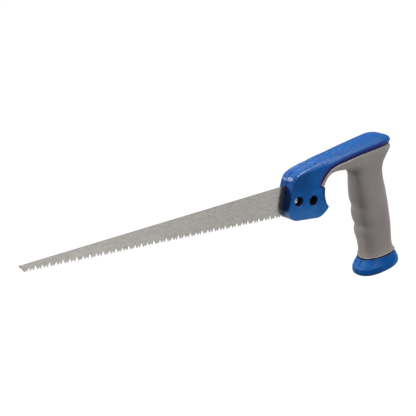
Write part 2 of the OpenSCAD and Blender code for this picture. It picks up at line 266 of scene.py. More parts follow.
def blue_plastic():
    n = Nodes("blue_plastic")
    n.set(IOR=1.46, Specular_IOR_Level=0.07)
    cloud = n.noise(95, 4, 0.6)
    fleck = n.noise(330, 4, 0.65)
    up = n.ramp(n.normal(2), 0.10, 0.55)
    under = n.math("MULTIPLY", n.ramp(n.normal(2), -0.15, -0.55), n.ramp(n.place(0), -0.114, -0.109))
    front = n.math("MULTIPLY", n.ramp(n.normal(0), -0.35, -0.75), n.ramp(n.place(0), -0.108, -0.112))
    # painted light: the lower part of the head's side is lighter, standing in for light reflected up from the floor,
    # broken up by the cloud noise
    low = n.math("ADD", n.ramp(n.place(2), 0.016, -0.006), n.ramp(cloud, 0.3, 0.7, -0.25, 0.25))
    body = n.mix(n.ramp(cloud, 0.35, 0.68), (0.0010, 0.067, 0.262), (0.0022, 0.083, 0.309))
    low = n.math("MULTIPLY", low, n.ramp(n.place(0), -0.060, -0.072, 0.0, 0.8))
    body = n.mix(low, body, (0.036, 0.144, 0.378))
    # painted shade: the upper side of the head is a deeper blue, standing in for the shade there
    high = n.math("MULTIPLY", n.ramp(n.place(2), 0.014, 0.034), n.ramp(n.place(0), -0.080, -0.100))
    body = n.mix(high, body, (0.0016, 0.046, 0.185))
    # upward faces get a lighter, mottled colour: partly wear, partly a painted sheen standing in for the light on the
    # spine's top
    wear_and_sheen_colour = n.mix(n.ramp(fleck, 0.36, 0.64), (0.010, 0.091, 0.322), (0.062, 0.156, 0.416))
    wear_and_sheen_mask = n.math("MULTIPLY", n.ramp(n.place(2), -0.062, -0.050, 0.2, 1.0), n.ramp(n.place(0), -0.105, 0.012, 1.0, 0.25))
    wear_and_sheen_mask = n.math("MULTIPLY", wear_and_sheen_mask, n.ramp(n.place(0), -0.116, -0.104, 0.5, 1.0))
    body = n.mix(n.math("MULTIPLY", up, wear_and_sheen_mask), body, wear_and_sheen_colour)
    # painted shade: faces that point down, behind the very front of the head, are darker
    body = n.mix(n.math("MULTIPLY", under, 0.8), body, (0.010, 0.020, 0.150))
    # painted shade: the thinned rear edge of the head is darker, most of all under the skin's tail, which shades it
    rear = n.math("MULTIPLY", n.ramp(n.place(0), -0.0770, -0.0752), n.ramp(n.place(0), -0.064, -0.066))
    rear = n.math("MULTIPLY", rear, n.ramp(n.place(2), 0.0285, 0.0270))
    rear = n.math("MULTIPLY", rear, n.ramp(n.place(2), 0.006, 0.022, 0.0, 1.0))
    body = n.mix(rear, body, (0.0010, 0.018, 0.090))
    # painted light and shade on the butt: lighter above the crease at its front and round its rear end, darker below
    # the crease and between, standing in for how the light falls on its facets
    end = n.ramp(n.place(2), -0.050, -0.052)
    high = n.math("SUBTRACT", n.place(2), n.math("MULTIPLY", n.place(0), 0.24))
    painted_light_facet = n.math("MULTIPLY", n.ramp(high, -0.0746, -0.0737), n.ramp(high, -0.0665, -0.0705))
    painted_light_facet = n.math("MULTIPLY", painted_light_facet, n.ramp(n.place(0), 0.008, -0.007))
    painted_light_facet = n.math("MULTIPLY", painted_light_facet, n.ramp(n.noise(170, 3), 0.36, 0.64, 0.0, 0.8))
    dark = n.math("MULTIPLY", n.ramp(high, -0.0738, -0.0747), n.ramp(n.place(0), 0.016, 0.0, 0.0, 0.6))
    dark = n.math("MAXIMUM", dark, n.ramp(high, -0.0705, -0.0650, 0.0, 0.55))
    side = n.math("MULTIPLY", n.ramp(n.place(0), 0.0, 0.010, 0.0, 0.4), n.ramp(n.place(0), 0.034, 0.020))
    body = n.mix(n.math("MULTIPLY", end, n.math("MAXIMUM", dark, side)), body, (0.0012, 0.046, 0.186))
    body = n.mix(n.math("MULTIPLY", end, painted_light_facet), body, (0.018, 0.112, 0.350))
    # painted highlight: a lighter band round the butt's rear end, broken up by the fleck noise
    painted_highlight_end = n.math("MULTIPLY", n.ramp(n.place(0), 0.0290, 0.0385, 0.0, 0.8), n.ramp(fleck, 0.35, 0.65, 0.5, 1.0))
    body = n.mix(n.math("MULTIPLY", end, painted_highlight_end), body, (0.085, 0.200, 0.420))
    # painted shadow of the blade on the front beside the slot, and a painted light patch on the corner below it
    across = n.math("POWER", n.math("MULTIPLY", n.place(1), 1 / 0.0122), 2)
    along = n.math("POWER", n.math("MULTIPLY", n.math("SUBTRACT", n.place(2), 0.0185), 1 / 0.0155), 2)
    painted_blade_shadow = n.math("MULTIPLY", front, n.ramp(n.math("ADD", across, along), 1.05, 0.70))
    body = n.mix(painted_blade_shadow, body, (0.0006, 0.013, 0.072))
    # painted light: the lower corner of the front is lighter, standing in for light that reaches it under the blade
    painted_light_corner = n.math("MULTIPLY", n.ramp(n.place(2), 0.008, 0.001), n.ramp(cloud, 0.25, 0.6, 0.6, 1.0))
    n.colour(n.mix(n.math("MULTIPLY", front, painted_light_corner), body, (0.200, 0.400, 0.660)))
    matt = n.math("MULTIPLY", up, n.ramp(n.place(0), -0.100, -0.070))
    matt = n.math("ADD", n.math("MULTIPLY", matt, 0.30), n.math("MULTIPLY", painted_blade_shadow, 0.45))
    n.rough(n.math("ADD", n.ramp(cloud, 0.3, 0.7, 0.16, 0.22), matt))
    grain = n.math("ADD", n.noise(2600, 2, 0.5), n.math("MULTIPLY", fleck, 0.6))
    n.bump(n.math("MULTIPLY", grain, n.ramp(n.place(0), -0.098, -0.070, 0.35, 1.0)), 0.06, 0.0002)
    return n.mat


def painted_shade_inside():
    # painted shade: near-black navy for recess walls, grooves and joint faces, standing in for the shade inside them
    n = Nodes("blue_plastic_inside_painted_shade")
    n.set(IOR=1.46, Specular_IOR_Level=0.2)
    n.colour(n.mix(n.ramp(n.noise(300, 3), 0.35, 0.65), (0.0010, 0.003, 0.012), (0.002, 0.006, 0.022)))
    n.rough(n.ramp(n.noise(500, 2), 0.3, 0.7, 0.5, 0.65))
    n.bump(n.noise(2200, 2), 0.1, 0.0002)
    return n.mat


def shaded_gap():
    # painted shade: near-black navy for the walls in the gaps between the blue moulding and the skin
    n = Nodes("blue_plastic_gap_painted_shade")
    n.set(IOR=1.46, Specular_IOR_Level=0.1)
    n.colour(n.mix(n.ramp(n.noise(260, 3), 0.35, 0.65), (0.002, 0.008, 0.040), (0.004, 0.013, 0.060)))
    n.rough(n.ramp(n.noise(500, 2), 0.3, 0.7, 0.55, 0.7))
    n.bump(n.noise(2200, 2), 0.1, 0.0002)
    return n.mat


def shaded_band():
    # painted shade: dark purple-navy for the undercut band under the spine's lip
    n = Nodes("blue_plastic_band_painted_shade")
    n.set(IOR=1.46, Specular_IOR_Level=0.2)
    n.colour(n.mix(n.ramp(n.noise(220, 3), 0.35, 0.65), (0.014, 0.016, 0.150), (0.022, 0.025, 0.205)))
    n.rough(n.ramp(n.noise(500, 2), 0.3, 0.7, 0.38, 0.5))
    n.bump(n.noise(2400, 2), 0.08, 0.0002)
    return n.mat


def grey_rubber():
    n = Nodes("grey_rubber")
    n.set(IOR=1.45, Specular_IOR_Level=0.3, Sheen_Weight=0.25, Sheen_Roughness=0.45, Sheen_Tint=(1.0, 0.95, 0.92, 1))
    cloud = n.noise(38, 4, 0.55)
    fine = n.noise(900, 3, 0.6)
    base = n.mix(n.ramp(cloud, 0.32, 0.70), (0.156, 0.139, 0.132), (0.185, 0.167, 0.159))
    n.colour(n.mix(n.ramp(fine, 0.35, 0.7, 0.0, 0.35), base, (0.212, 0.192, 0.183)))
    n.rough(n.ramp(fine, 0.3, 0.7, 0.60, 0.76))
    n.bump(n.math("ADD", n.noise(3200, 2, 0.6), n.math("MULTIPLY", fine, 0.5)), 0.22, 0.0003)
    return n.mat


def painted_highlight_rim():
    # painted highlight: a lighter grey for the skin's rims, standing in for the light they catch
    n = Nodes("grey_rubber_painted_highlight")
    n.set(IOR=1.45, Specular_IOR_Level=0.3)
    n.colour(n.mix(n.ramp(n.noise(160, 3), 0.35, 0.68), (0.290, 0.258, 0.240), (0.350, 0.314, 0.294)))
    n.rough(n.ramp(n.noise(900, 2), 0.3, 0.7, 0.50, 0.66))
    n.bump(n.noise(3200, 2), 0.12, 0.0002)
    return n.mat


def blade_steel():
    n = Nodes("blade_steel")
    n.set(Metallic=0.955)
    grain = n.noise(800, 5, 0.68)
    streak = n.noise(300, 4, 0.6, stretch=(0.4, 1, 1.4))
    patch = n.noise(45, 3, 0.5)
    tone = n.math("ADD", n.math("MULTIPLY", grain, 0.6), n.math("MULTIPLY", streak, 0.4))
    # duller towards the handle
    toe = n.mix(n.ramp(tone, 0.34, 0.66), (0.320, 0.306, 0.284), (0.488, 0.471, 0.441))
    heel = n.mix(n.ramp(tone, 0.34, 0.66), (0.262, 0.252, 0.236), (0.402, 0.389, 0.368))
    steel = n.mix(n.ramp(n.place(0), -0.360, -0.180), toe, heel)
    steel = n.mix(n.ramp(patch, 0.4, 0.75, 0.0, 0.35), steel, (0.340, 0.326, 0.305))
    # tarnish on the very tip
    tip = n.ramp(n.math("SUBTRACT", n.place(0), n.math("MULTIPLY", n.place(2), 0.6)), -0.4245, -0.4268, 0.0, 0.85)
    n.colour(n.mix(tip, steel, (0.050, 0.036, 0.024)))
    n.rough(n.ramp(tone, 0.3, 0.7, 0.16, 0.24))
    n.bump(n.math("ADD", grain, streak), 0.06, 0.0002)
    return n.mat


def zinc_steel(name, dark, light):
    n = Nodes(name)
    n.set(Metallic=1.0)
    spots = n.noise(1500, 4, 0.6)
    n.colour(n.mix(n.ramp(spots, 0.35, 0.65), dark, light))
    n.rough(n.ramp(spots, 0.3, 0.7, 0.22, 0.38))
    n.bump(n.noise(4000, 2), 0.1, 0.0001)
    return n.mat


BLUE, INSIDE_SHADE, BAND, GAP = blue_plastic(), painted_shade_inside(), shaded_band(), shaded_gap()
GREY, EDGE, STEEL = grey_rubber(), painted_highlight_rim(), blade_steel()
ZINC = zinc_steel("zinc_steel", (0.300, 0.305, 0.290), (0.620, 0.615, 0.575))
# painted shade: the rear screw and washer get a near-black zinc, standing in for the deep shade in their recess
SHADED_ZINC = zinc_steel("zinc_steel_painted_shade", (0.020, 0.021, 0.026), (0.055, 0.055, 0.060))

# ------------------------------------------------------------------ head and spine

SCREWS = ((-107.8, 16.6), (-88.7, 14.7))
SEAM = 0.02
SLOT = 0.7

_w = spline([(-124, 10.4), (-121, 10.5), (-108, 10.9), (-95, 11.3), (-85, 11.5), (-72, 11.8), (-60, 12.6),
             (-40, 13.5), (-20, 13.9), (-6, 13.9), (0, 13.9)], 8)


def half_w(x):
    """Half thickness of head and spine; the rear end is rounded in plan."""
    x = np.asarray(x, float)
    end = 13.9 * np.clip(1 - np.clip(x / 22.1, 0, 1) ** 3, 0.004, 1) ** 0.4
    return np.where(x > 0, end, np.interp(x, _w[:, 0], _w[:, 1]))


LIP = spline([(-82.6, 26.6), (-82.3, 31.0), (-81.1, 35.1), (-78.9, 39.0), (-75.5, 42.9), (-70.8, 46.6), (-67, 48.9),
              (-60, 51.3), (-54.4, 52.9), (-41.2, 56.3), (-27.5, 58.8), (-13.5, 61.3), (0.8, 64.0), (8, 64.9), (14, 65.0),
              (19, 64.4), (21.7, 63.6)], 6)

# outline of the blue moulding seen from the side: x, z, inset and share of the half thickness
# of the rounded edge, its exponent, half width of the joint groove, angle the edge turns through
UNDER = [(-67.4, 5.2, 0.6, 0.06, 2, 0.06, 90), (-68.8, 2.4, 1.0, 0.09, 2, 0.06, 90), (-71.0, -0.1, 1.3, 0.11, 2, 0.10, 90),
         (-76, -3.5, 1.4, 0.12, 2, 0.15, 90), (-82, -5.0, 1.4, 0.12, 2, 0.2, 90), (-92, -4.6, 1.4, 0.12, 2, 0.2, 90),
         (-102, -4.2, 1.4, 0.12, 2, 0.25, 90), (-110, -3.8, 1.4, 0.13, 2, 0.3, 90), (-115.0, -2.0, 1.3, 0.12, 2, 0.3, 90),
         (-117.8, 0.4, 1.1, 0.10, 2, 0.3, 90), (-119.3, 3.4, 1.0, 0.09, 2, 0.3, 90), (-120.0, 9, 0.9, 0.08, 2, 0.3, 90),
         (-119.1, 16, 1.0, 0.09, 2, 0.3, 90), (-118.1, 23, 1.2, 0.12, 2, 0.4, 88), (-117.1, 29.5, 1.6, 0.16, 2, 0.45, 84),
         (-116.1, 34.6, 2.1, 0.21, 2, 0.5, 80), (-114.8, 39.7, 2.6, 0.26, 2, 0.5, 76), (-111.4, 44.3, 3.1, 0.30, 2, 0.5, 72),
         (-105.6, 47.5, 3.8, 0.36, 2.2, 0.5, 68), (-99, 50.0, 5.0, 0.46, 2.4, 0.5, 65), (-92, 52.3, 6.4, 0.58, 2.6, 0.56, 64),
         (-86, 53.9, 7.4, 0.68, 2.8, 0.56, 63), (-82.4, 55.2, 7.9, 0.74, 2.9, 0.55, 63), (-76.4, 57.3, 8.6, 0.82, 3.1, 0.52, 63),
         (-68, 59.8, 9.3, 0.90, 3.2, 0.48, 63), (-58, 62.4, 7.9, 0.95, 3.2, 0.42, 63), (-48, 64.8, 7.6, 0.96, 3.1, 0.32, 63),
         (-36, 67.4, 7.6, 0.965, 3.0, 0.2, 63), (-20, 70.75, 7.6, 0.97, 3.2, 0.12, 64), (-4, 73.2, 7.6, 0.97, 3.6, 0.12, 66),
         (8, 72.1, 5.5, 0.96, 4.0, 0.10, 70), (15, 70.4, 4.4, 0.95, 4.0, 0.08, 76), (19.4, 68.6, 3.4, 0.9, 3.0, 0.06, 84),
         (21.4, 67.2, 1.8, 0.7, 2.4, 0.04, 90), (21.9, 65.2, 0.6, 0.5, 2, 0.04, 90)]
LOWER = [(21.8, 61.9, 0.5, 0.14, 0.95, 0.04, 90), (18.4, 61.8, 1.6, 0.18, 0.95, 0.05, 90), (12.0, 61.2, 3.0, 0.20, 0.95, 0.05, 90),
         (3.2, 59.7, 3.0, 0.20, 0.95, 0.05, 90), (-12.7, 57.6, 3.2, 0.20, 0.95, 0.05, 90), (-26.6, 55.2, 3.2, 0.20, 0.95, 0.05, 90),
         (-40.1, 52.4, 3.4, 0.20, 0.95, 0.05, 90), (-53.6, 49.4, 3.6, 0.20, 0.95, 0.05, 90), (-63.8, 46.1, 3.6, 0.20, 0.95, 0.05, 90),
         (-68.5, 42.4, 3.6, 0.20, 0.95, 0.05, 90), (-72.3, 38.6, 3.5, 0.20, 0.95, 0.05, 90), (-75.1, 34.4, 3.5, 0.20, 0.95, 0.05, 90),
         (-77.3, 30.2, 3.2, 0.20, 0.95, 0.05, 90), (-78.4, 26.6, 2.6, 0.16, 0.95, 0.05, 90)]
REAR = [(-72.2, 26.2, 4.0, 0.11, 1.3, 0.06, 90), (-72.5, 22, 4.0, 0.11, 1.3, 0.06, 90), (-72.2, 16, 3.6, 0.10, 1.3, 0.06, 90),
        (-70.2, 9.4, 2.2, 0.09, 1.5, 0.06, 90), (-68.6, 6.9, 1.2, 0.08, 1.8, 0.06, 90), (-67.4, 5.2, 0.6, 0.06, 2, 0.06, 90)]
SHELF = (-78.4, 26.6)
RINGS = 12


def edge_rows(S):
    """Inward normal of each row of an outline, in the side plane."""
    t = np.gradient(S[:, :2], axis=0)
    t /= np.linalg.norm(t, axis=1)[:, None]
    return np.c_[t[:, 1], -t[:, 0]]


def rounded(S, N, flat, crown=0.0):
    """The rounded edge's columns; the last one is a little further in, on the flat side.
    crown is the share of a rounded ridge with sloping sides, as on the spine."""
    out = np.zeros((len(S), RINGS + 2, 3))
    e = 2 / S[:, 4]
    end = np.radians(S[:, 6])
    for k in range(RINGS + 2):
        a = end * min(k, RINGS) / RINGS
        c = np.maximum(np.cos(a), 0) ** e
        h = (np.sin(a) / np.sin(end)) ** e
        u = (1 - c) / (1 - np.maximum(np.cos(end), 0) ** e)
        h = h * (1 - crown) + crown * min(k, RINGS) / RINGS
        roof = (np.sqrt(h**2 + 0.2) - math.sqrt(0.2)) / (math.sqrt(1.2) - math.sqrt(0.2))
        slope = 0.8 * roof + 0.2 * np.maximum(0, (h - 0.82) / 0.18) ** 1.6
        u = S[:, 2] * (u * (1 - crown) + slope * crown)
        if k > RINGS:
            u = u + flat
        p = S[:, :2] + N * u[:, None]
        y = -half_w(p[:, 0]) * (1 - S[:, 3] + S[:, 3] * h)
        out[:, k] = np.c_[p[:, 0], y, p[:, 1]]
    return out


def outline():
    """Rows of the outline from the shelf round to the shelf, their inward normals, the columns of
    the rounded edge, the part each row belongs to and the places along the shelf's outer edge."""
    A = respace(spline(UNDER, 10), 1.0)
    # exact rows at the ends of the blade slot
    extra, key = [], []
    for z in (-1.05, -0.9, 33.9, 34.05):
        i = np.where((A[:-1, 0] < -112) & ((A[:-1, 1] - z) * (A[1:, 1] - z) <= 0))[0][0]
        f = (z - A[i, 1]) / (A[i + 1, 1] - A[i, 1])
        extra.append(A[i] + f * (A[i + 1] - A[i]))
        key.append(i + f)
    order = np.argsort(np.r_[np.arange(len(A)), key], kind="stable")
    A = np.vstack([A, extra])[order]
    A = A[np.r_[True, np.hypot(*np.diff(A[:, :2], axis=0).T) > 0.02]]
    wide = smoothstep(A[:, 0], -80, -62)
    A[:, 2] = A[:, 2] * (1 - wide) + wide * np.clip(distance(A[:, :2], LIP) - 0.35, 0.3, A[:, 2] + 2)
    B = respace(spline(LOWER, 10), 1.0)
    run = smoothstep(np.hypot(B[:, 0] - SHELF[0], B[:, 1] - SHELF[1]), 1.0, 9.0)
    B[:, 2] = B[:, 2] * (1 - run) + run * np.maximum(distance(B[:, :2], LIP) + 0.05, 0.3)
    D = respace(spline(REAR, 10), 0.9)
    NA, NB, ND = edge_rows(A), edge_rows(B), edge_rows(D)
    # the hook's tip, where two edges meet
    tip = (ND[-1] + NA[0]) / np.linalg.norm(ND[-1] + NA[0])
    NA[0] = ND[-1] = tip / max(0.5, float(np.dot(tip, NA[0])))
    flat_a = (0.45 * (1 - wide) + 0.1 * wide) * np.clip(A[:, 2], 0, 1)
    crown = smoothstep(A[:, 0], -86, -48) * (1 - smoothstep(A[:, 0], -30, 18))
    ra, rb = rounded(A, NA, flat_a, crown), rounded(B, NB, np.full(len(B), 0.1))
    rd = rounded(D, ND, 0.35 * np.clip(D[:, 2], 0, 1))
    ra[0] = rd[-1]
    # the shelf under the tail of the soft skin is a straight cut between the ends of the outline
    x = np.linspace(rb[-1, -1, 0], rd[0, -1, 0], 6)[1:-1]
    z = np.linspace(rb[-1, -1, 2], rd[0, -1, 2], 6)[1:-1]
    part = np.repeat([3, 0, 1], [len(D), len(A), len(B)])
    return np.vstack([D, A, B]), np.vstack([ND, NA, NB]), np.concatenate([rd, ra, rb]), part, np.c_[x, z]


def hole_ring(c, r, sides, n=48):
    a = np.arange(n) * 2 * math.pi / n
    if sides:
        # six-sided, r is half the width across the flats
        step = 2 * math.pi / sides
        r = r / np.cos((a + 1e-9) % step - step / 2)
    return np.c_[c[0] + r * np.cos(a), c[1] + r * np.sin(a)]


def head_and_spine(b, sides):
    """One moulded half, up to the joint. sides 0: round screw recesses; 6: nut pockets."""
    S, N, cols, part, ledge = outline()
    n = len(S)
    ids = [b.add(cols[:, k]) for k in range(RINGS + 2)]
    # the band under the spine's lip is in painted shade: a darker, matt purple-navy
    b.grid(ids, np.where(part == 1, 2, 0))
    # edge wall from the rounded edge to the joint, with a fine groove along the joint; the groove's walls are in
    # painted shade
    y0 = -cols[:, 0, 1]
    in_slot = (S[:, 0] < -112) & (S[:, 1] > -1.0) & (S[:, 1] < 34.0)
    g = np.where(in_slot, 0.25, S[:, 5])
    low = np.where(in_slot, SLOT, SEAM)
    top = low + g
    # under the spine a wall goes down behind the rim of the skin; it is in painted shade
    along = np.where(part == 1, np.clip((np.arange(n) - np.argmax(part == 1)) / 8, 0, 1), 0)
    along = along * np.where(part == 1, np.clip((n - 1 - np.argmax(part[::-1] == 1) - np.arange(n)) / 4, 0, 1), 0)
    base = cols[:, 0] - np.c_[N[:, 0], np.zeros(n), N[:, 1]] * (1.25 * along)[:, None]
    rows = [b.add(base)]
    b.strip(ids[0], rows[0], 3)
    # the front of the head bulges a little towards the joint
    bulge = np.where(part == 0, 0.25 * smoothstep(S[:, 1], 24, 34) * (1 - smoothstep(S[:, 0], -108, -100)), 0)
    for f in (0.62, 0.25, 0.0):
        y = top + (y0 - top) * f
        p = base[:, [0, 2]] - N * (bulge * (1 - f))[:, None]
        rows.append(b.add(np.c_[p[:, 0], -y, p[:, 1]]))
    b.grid(rows, np.where(part == 1, 3, 0))
    for f, inset in ((0.7, 0.25), (0.5, 1.4), (0.0, 1.5)):
        last = base[:, [0, 2]] + N * (g * inset - bulge)[:, None]
        rows.append(b.add(np.c_[last[:, 0], -(low + g * f), last[:, 1]]))
    b.strip(rows[3], rows[4], 0)
    b.grid(rows[4:], 1)
    # the shelf, in painted shade, from the joint's edge of one end of the outline round to that of the other
    ledge_ids = b.add(np.c_[ledge[:, 0], -half_w(ledge[:, 0]), ledge[:, 1]])
    round_ = [r[-1] for r in rows[::-1]] + [r[-1] for r in ids[1:]] + list(ledge_ids)
    round_ += [r[0] for r in ids[:0:-1]] + [r[0] for r in rows]
    flat = np.vstack(b.v)[round_][:, :2]
    edges = [(i, (i + 1) % len(round_)) for i in range(len(round_))]
    co, source, tri = triangulate(flat, edges, lambda c: in_polygon(c, flat))
    for t in tri:
        b.face([round_[source[i]] for i in t], 3)
    # flat side, with the two openings
    loop = np.vstack([cols[:, -1][:, [0, 2]], ledge])
    m = len(loop)
    lip = 0.7 if not sides else 0.45
    half = 5.25 if not sides else 3.6
    holes = [hole_ring(c, half + lip, sides) for c in SCREWS]
    gx, gz = np.meshgrid(np.arange(-119, 22, 2.6), np.arange(-4, 70, 2.6))
    grid = np.c_[gx.ravel() + 1.3 * (np.round(gz.ravel() / 2.6) % 2), gz.ravel()]
    closed_loop = np.vstack([loop, loop[:1]])
    grid = grid[in_polygon(grid, loop)]
    grid = grid[distance(grid, closed_loop) > 1.0]
    for c in SCREWS:
        grid = grid[np.hypot(*(grid - c).T) > half + lip + 1.6]
    pts = np.vstack([loop] + holes + [grid])
    edges = [(i, (i + 1) % m) for i in range(m)]
    for h in range(2):
        o = m + 48 * h
        edges += [(o + i, o + (i + 1) % 48) for i in range(48)]
    keep = lambda c: in_polygon(c, loop) & ~in_polygon(c, holes[0]) & ~in_polygon(c, holes[1])
    co, source, tri = triangulate(pts, edges, keep)
    hole_ids = [b.add(np.c_[h[:, 0], -half_w(h[:, 0]), h[:, 1]]) for h in holes]
    grid_ids = b.add(np.c_[grid[:, 0], -half_w(grid[:, 0]), grid[:, 1]])
    known = np.concatenate([ids[-1], ledge_ids] + hole_ids + [grid_ids])
    table = [known[s] if s >= 0 else b.add([(p[0], -half_w(p[0]), p[1])])[0] for p, s in zip(co, source)]
    for t in tri:
        b.face([table[i] for i in t])
    # recesses: rounded rim, wall, floor, bore; all but the rim are in near-black painted shade
    floor_y = 2.5 if not sides else 2.98
    bores = []
    for c, outer in zip(SCREWS, hole_ids):
        rim = [outer]
        for k in range(1, 6):
            a = k * math.pi / 10
            h = hole_ring(c, half + lip * (1 - math.sin(a)), sides)
            rim.append(b.add(np.c_[h[:, 0], -half_w(h[:, 0]) + lip * (1 - math.cos(a)), h[:, 1]]))
        b.grid(rim, 0, closed=True)
        wall = [rim[-1]]
        h = hole_ring(c, half, sides)
        w = half_w(h[:, 0]) - lip
        for f in (0.7, 0.35, 0.1):
            wall.append(b.add(np.c_[h[:, 0], -(floor_y + (w - floor_y) * f), h[:, 1]]))
        h2 = hole_ring(c, half - 0.35, sides)
        wall.append(b.add(np.c_[h2[:, 0], np.full(48, -floor_y), h2[:, 1]]))
        r = hole_ring(c, 2.2, 0)
        wall.append(b.add(np.c_[r[:, 0], np.full(48, -floor_y), r[:, 1]]))
        wall.append(b.add(np.c_[r[:, 0], np.full(48, -SLOT), r[:, 1]]))
        b.grid(wall, 1, closed=True)
        bores.append((r, wall[-1]))
    # the joint face, with the blade slot sunk in it
    loop = last
    slot_rows = np.where(in_slot)[0]
    first, final = slot_rows[0], slot_rows[-1]
    sunk = np.array([(-78.75, 33.9), (-78.9, 30.0), (-78.9, 25.2), (-77.5, 23.6), (-77.5, -0.9)])
    rim = np.array([(-78.6, 34.05), (-78.75, 30.0), (-78.75, 25.3), (-77.35, 23.7), (-77.35, -1.05)])
    k = len(sunk)
    pts = np.vstack([loop, sunk, rim] + [r for r, _ in bores])
    edges = [(i, (i + 1) % n) for i in range(n)]
    # the outline runs upwards along the front, so its first slot row is the lower one
    for o, top_row, low_row in ((n, final, first), (n + k, final + 1, first - 1)):
        edges += [(top_row, o)] + [(o + i, o + i + 1) for i in range(k - 1)] + [(o + k - 1, low_row)]
    for h in range(2):
        o = n + 2 * k + 48 * h
        edges += [(o + i, o + (i + 1) % 48) for i in range(48)]
    keep = lambda c: in_polygon(c, loop) & ~in_polygon(c, bores[0][0]) & ~in_polygon(c, bores[1][0])
    co, source, tri = triangulate(pts, edges, keep)
    sunk_ids = b.add(np.c_[sunk[:, 0], np.full(k, -SLOT), sunk[:, 1]])
    rim_ids = b.add(np.c_[rim[:, 0], np.full(k, -SEAM), rim[:, 1]])
    known = np.concatenate([rows[-1], sunk_ids, rim_ids] + [i for _, i in bores])
    table = [known[s] if s >= 0 else b.add([(p[0], -SEAM, p[1])])[0] for p, s in zip(co, source)]
    for t in tri:
        b.face([table[i] for i in t], 1)


# ------------------------------------------------------------------ grip and butt sections


def section(s, n, rim=0.0):
    """Half section of a rung: rows of distance along the rung and half width.
    s: front x, z, rear x, z, half width, share left at the rear, widest place, exponents."""
    L = math.hypot(s[2] - s[0], s[3] - s[1])
    b, e, t1, p, q = s[4], max(s[5], 0.004), s[6], s[7], s[8]
    a = np.linspace(0, math.pi / 2, n + 1)
    rise = np.c_[t1 * (1 - np.cos(a) ** (2 / p)), b * np.sin(a) ** (2 / p)]
    u = np.sin(a[1:]) ** (2 / q)
    fall = np.c_[t1 + (1 - t1) * u, b * np.maximum(0, 1 - (1 - e**q) * u**q) ** (1 / q)]
    rise[-1] = (t1, b)
    P = np.vstack([rise, fall])
    P[:, 0] *= L
    return P, L


def on_rung(s, d, y):
    """Places on a rung; s[9] is the share of the bend at the grip's end: down at the front, up at the rear."""
    L = math.hypot(s[2] - s[0], s[3] - s[1])
    t = np.asarray(d) / L
    w = (y / s[4]) ** 2
    bend = 0.7 * smoothstep(t, 0.45, 0.8) - 2.3 * np.clip(1 - w, 0, 1) ** 2 * (1 - smoothstep(t, 0.05, 0.4))
    return np.c_[s[0] + (s[2] - s[0]) * t, y, s[1] + (s[3] - s[1]) * t + s[9] * bend]


# rungs of the flared end: front x, z, rear x, z, half width, exponent, share of the bend
BUTT = [(-7.5, -65.8, 34.2, -60.9, 16.6, 2.5, 1.0), (-9.6, -69.4, 36.7, -64.1, 17.5, 2.5, 0.85),
        (-11.9, -73.4, 38.9, -67.8, 18.7, 2.5, 0.5), (-13.1, -75.8, 39.7, -70.2, 19.3, 2.47, 0.3),
        (-13.8, -77.4, 40.1, -71.6, 19.5, 2.45, 0.2), (-14.1, -79.2, 39.8, -73.0, 19.45, 2.43, 0.1),
        (-14.1, -82.0, 38.7, -74.7, 18.9, 2.4, 0.05), (-13.1, -84.3, 36.2, -76.5, 17.2, 2.35, 0),
        (-9.6, -85.6, 32.4, -78.0, 14.6, 2.3, 0)]


def butt(b):
    """One half of the flared end, with the joint groove at its front and rear."""
    rows = spline([(*s[:5], 0.004, 0.5, s[5], s[5], s[6]) for s in BUTT], 7)
    ids = []

    def ring(s, g, raised=0.0):
        P, L = section(s, 14)
        d, y = P[1:-1, 0], P[1:-1, 1]
        d = np.r_[g * 1.2, 0.45 * g, 0.0, d, L, L - 0.45 * g, L - g * 1.2]
        y = np.r_[SEAM, 0.5 * g, g, y, g, 0.5 * g, SEAM]
        p = np.array(on_rung(s, d, -y), float)
        p[[0, -1], 2] += raised
        p[[1, -2], 2] += raised / 2
        return b.add(p)

    top = rows[0].copy()
    top[[0, 2]] += (0.8, -0.8)
    top[[1, 3]] += (0.25, 0.25)
    top[4] -= 0.8
    edge = rows[0].copy()
    edge[[0, 2]] += (0.2, -0.2)
    edge[[1, 3]] += (0.2, 0.2)
    edge[4] -= 0.2
    for s in [top, edge] + list(rows[:-1]):
        ids.append(ring(s, 0.36))
    ids.append(ring(rows[-1], 0.36, 0.12))
    # painted shade: the walls of the joint groove get the near-black inside material
    groove = np.zeros(len(ids[0]), int)
    groove[:2] = groove[-3:] = 1
    # painted shade: the butt's top rounding under the skin gets the dark gap material
    b.grid(ids[:3], 3)
    b.grid(ids[2:], groove)
    b.face(ids[0], 1)
    # the end face, with the joint's groove across it
    last = ids[-1]
    b.face(last[2:-2], 0)
    b.face((last[1], last[2], last[-3], last[-2]), 1)
    b.face((last[0], last[1], last[-2], last[-1]), 1)
    # the joint face between front and rear
    for r in range(len(ids) - 1):
        b.face((ids[r][0], ids[r + 1][0], ids[r + 1][-1], ids[r][-1]), 1)


